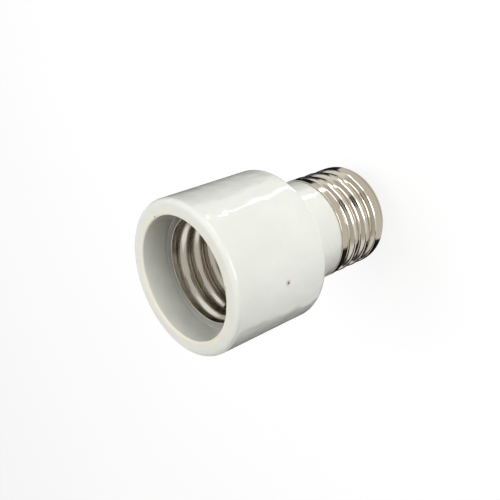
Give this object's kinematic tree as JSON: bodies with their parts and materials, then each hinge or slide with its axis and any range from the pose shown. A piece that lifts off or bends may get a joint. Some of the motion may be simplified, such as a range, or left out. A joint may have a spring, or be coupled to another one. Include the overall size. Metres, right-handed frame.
{
  "type": "lamp socket adapter",
  "caption": "Glazed porcelain mogul lamp socket extender: a screw shell inside a wide cup, a tapered neck and a screw cap with an end contact at the other end.",
  "frame": {"origin": "centre of the end contact's flat face, on which the adapter stands; lowest point at z = 0", "axes": "+Z along the thread axis from the end contact to the mouth, with the mouth up; +X through shell screw 1, +Y through the lamp-grip tongue"},
  "size_m": [0.057, 0.057, 0.093],
  "materials": {
    "porcelain": "glossy white glaze",
    "nickel": "nickel-plated brass, bright",
    "plated_steel": "zinc-plated",
    "spring_steel": "bright wire",
    "brass": "turned, plain",
    "copper": "bare copper",
    "solder": "dull solder",
    "fibre": "red-brown pressed fibre",
    "sleeve": "insulating sleeve",
    "black_glass": "opaque black glass"
  },
  "bodies": {
    "adapter": {"porcelain_body": "porcelain", "socket_shell": "nickel", "shell_screw_1": "plated_steel", "shell_screw_2": "plated_steel", "lock_washer_1": "plated_steel", "lock_washer_2": "plated_steel", "shell_nut_1": "plated_steel", "shell_nut_2": "plated_steel", "contact_washer": "fibre", "contact_bush": "brass", "contact_spring": "spring_steel", "bush_washer": "plated_steel", "bush_nut": "brass", "centre_rod": "copper", "rod_sleeve": "sleeve", "shell_lead": "copper", "lead_solder": "solder", "cap_shell": "nickel", "cap_insulator": "black_glass", "tip_contact": "brass", "tip_solder": "solder"},
    "plunger": {"contact_plunger": "brass"}
  },
  "joints": [
    {"name": "contact_slide", "type": "slide", "parent": "adapter", "child": "plunger", "axis": [0, 0, 1], "range_m": [-0.0025, 0], "stiffness_N_per_m": 300, "springref_m": 0.002, "deforming": ["contact_spring"]}
  ]
}
